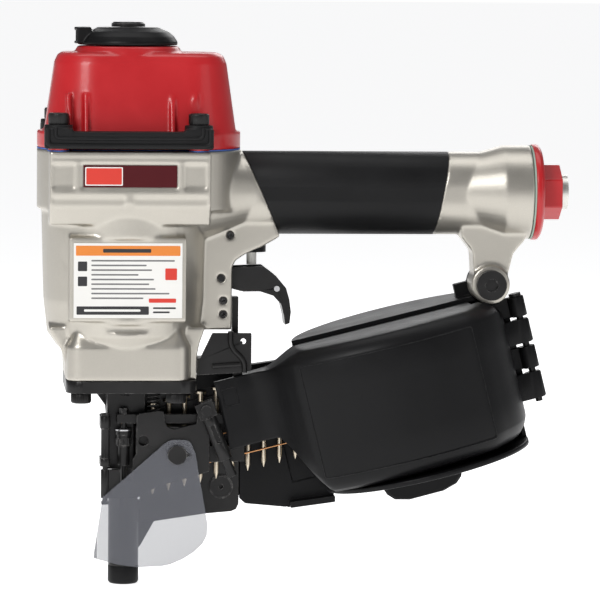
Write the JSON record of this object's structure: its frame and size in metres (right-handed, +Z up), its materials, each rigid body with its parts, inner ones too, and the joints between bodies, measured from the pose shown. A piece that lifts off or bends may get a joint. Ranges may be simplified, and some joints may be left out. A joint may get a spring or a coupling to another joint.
{
  "type": "coil roofing nailer",
  "caption": "Pneumatic coil nailer with a red cylinder cap, silver body and handle, black trigger and nose, clear shield and a tilted black drum magazine.",
  "frame": {"origin": "centre of the contact tip's bottom face, on the driving axis", "axes": "+Z up the driving axis, +X from the driving axis to the handle's rear end, -Y the tool's left side, which faces the viewer in the picture"},
  "size_m": [0.2599, 0.105, 0.2746],
  "materials": {
    "red_paint": "red painted casting, gloss",
    "silver_paint": "champagne silver painted casting, satin",
    "bare_aluminium": "turned aluminium",
    "black_cast": "black painted casting",
    "black_steel": "black oxide steel",
    "spring_steel": "plain steel",
    "nail_steel": "bright nail wire",
    "copper_wire": "copper-washed wire",
    "brass_mesh": "sintered bronze",
    "black_rubber": "moulded black rubber",
    "black_plastic": "grained black plastic",
    "white_plastic": "white plastic",
    "pale_alloy": "plain alloy",
    "blue_gasket": "blue gasket sheet",
    "grey_gasket": "green-grey gasket sheet",
    "plate_red": "dark red plate",
    "label_white": "white label",
    "clear_plastic": "clear smoke plastic"
  },
  "bodies": {
    "tool": {"exhaust_bolt": "black_steel", "cylinder_cap": "red_paint", "cap_gasket": "blue_gasket", "cap_bolts": "black_steel", "bumper_near": "black_rubber", "bumper_far": "black_rubber", "head_valve_spring": "spring_steel", "housing": "silver_paint", "grip_sleeve": "black_rubber", "name_plate": "plate_red", "label_plate": "label_white", "cylinder_sleeve": "bare_aluminium", "cylinder_seals": "black_rubber", "piston_bumper": "black_rubber", "end_cap": "red_paint", "end_cap_gasket": "grey_gasket", "inlet_bushing": "pale_alloy", "air_filter": "brass_mesh", "pivot_pin": "black_steel", "roll_pins": "black_steel", "valve_housing": "black_plastic", "valve_spring": "spring_steel", "arm_spring": "black_steel", "arm_guide": "black_steel", "nose_body": "black_steel", "nose_bolts": "black_steel", "feed_cylinder": "black_cast", "feed_end_cap": "black_cast", "door_hinge_pin": "black_steel", "table_screw": "black_steel", "magazine_case": "black_plastic", "cover_hinge_pin": "black_steel", "arm_bolt": "black_steel", "nails": "nail_steel", "collation_wires": "copper_wire"},
    "exhaust": {"exhaust_cover": "black_plastic"},
    "head_valve": {"head_valve": "white_plastic", "head_valve_seal": "black_rubber"},
    "piston": {"piston": "bare_aluminium", "piston_ring": "black_rubber", "driver_blade": "spring_steel"},
    "trigger": {"trigger": "black_steel", "lever_pin": "spring_steel"},
    "lever": {"trigger_lever": "black_steel"},
    "stem": {"valve_stem": "white_plastic"},
    "contact_arm": {"contact_arm": "black_steel", "contact_foot": "black_steel", "contact_tip": "black_rubber"},
    "dial": {"adjuster_dial": "black_steel"},
    "door": {"door": "black_steel", "shield": "clear_plastic", "shield_stud": "black_steel", "latch_pin": "black_steel"},
    "latch": {"door_latch": "black_steel"},
    "feed": {"feed_piston": "spring_steel", "pawl_pin": "spring_steel"},
    "pawl": {"feed_pawl": "black_steel"},
    "cover": {"magazine_cover": "black_plastic"},
    "support": {"nail_support": "black_plastic"}
  },
  "joints": [
    {"name": "exhaust_turn", "type": "hinge", "parent": "tool", "child": "exhaust", "pos_m": [0.0012, 0, 0.265], "axis": [0, 0, 1], "continuous": true},
    {"name": "head_valve_lift", "type": "slide", "parent": "tool", "child": "head_valve", "axis": [0, 0, 1], "range_m": [0, 0.005], "stiffness_N_per_m": 1500, "springref_m": -0.008, "deforming": ["head_valve_spring"]},
    {"name": "piston_stroke", "type": "slide", "parent": "tool", "child": "piston", "axis": [0, 0, -1], "range_m": [0, 0.078]},
    {"name": "trigger_pull", "type": "hinge", "parent": "tool", "child": "trigger", "pos_m": [0.0464, 0, 0.1508], "axis": [0, -1, 0], "range_deg": [0, 10], "stiffness_Nm_per_rad": 0.3, "springref_deg": -11.46},
    {"name": "lever_tip", "type": "hinge", "parent": "trigger", "child": "lever", "pos_m": [0.074, 0, 0.1453], "axis": [0, 1, 0], "range_deg": [0, 5], "stiffness_Nm_per_rad": 0.03, "springref_deg": -17.19},
    {"name": "stem_lift", "type": "slide", "parent": "tool", "child": "stem", "axis": [0, 0, 1], "range_m": [0, 0.003], "deforming": ["valve_spring"]},
    {"name": "arm_slide", "type": "slide", "parent": "tool", "child": "contact_arm", "axis": [0, 0, 1], "range_m": [0, 0.008], "stiffness_N_per_m": 400, "springref_m": -0.008, "deforming": ["arm_spring"]},
    {"name": "dial_turn", "type": "hinge", "parent": "contact_arm", "child": "dial", "pos_m": [-0.0005, -0.012, 0.072], "axis": [0, 0, 1], "continuous": true},
    {"name": "door_swing", "type": "hinge", "parent": "tool", "child": "door", "pos_m": [-0.0097, -0.0175, 0.05], "axis": [0, 0, -1], "range_deg": [0, 100]},
    {"name": "latch_turn", "type": "hinge", "parent": "door", "child": "latch", "pos_m": [0.0388, -0.022, 0.0875], "axis": [0, 1, 0], "range_deg": [0, 15], "stiffness_Nm_per_rad": 0.1, "springref_deg": -11.46},
    {"name": "feed_slide", "type": "slide", "parent": "tool", "child": "feed", "axis": [0.9703, 0, 0.2419], "range_m": [0, 0.0078], "stiffness_N_per_m": 600, "springref_m": -0.008},
    {"name": "pawl_swing", "type": "hinge", "parent": "feed", "child": "pawl", "pos_m": [0.01645, 0.0144, 0.06557], "axis": [0.2419, 0, -0.9703], "range_deg": [0, 15], "stiffness_Nm_per_rad": 0.01, "springref_deg": -11.46},
    {"name": "cover_swing", "type": "hinge", "parent": "tool", "child": "cover", "pos_m": [0.20031, -0.006, 0.10579], "axis": [-0.2419, 0, 0.9703], "range_deg": [0, 100]},
    {"name": "support_slide", "type": "slide", "parent": "tool", "child": "support", "axis": [-0.2419, 0, 0.9703], "range_m": [-0.01, 0]}
  ],
  "couplings": [
    {"joint": "stem_lift", "follows": "trigger_pull", "m_per_rad": 0.0156}
  ]
}
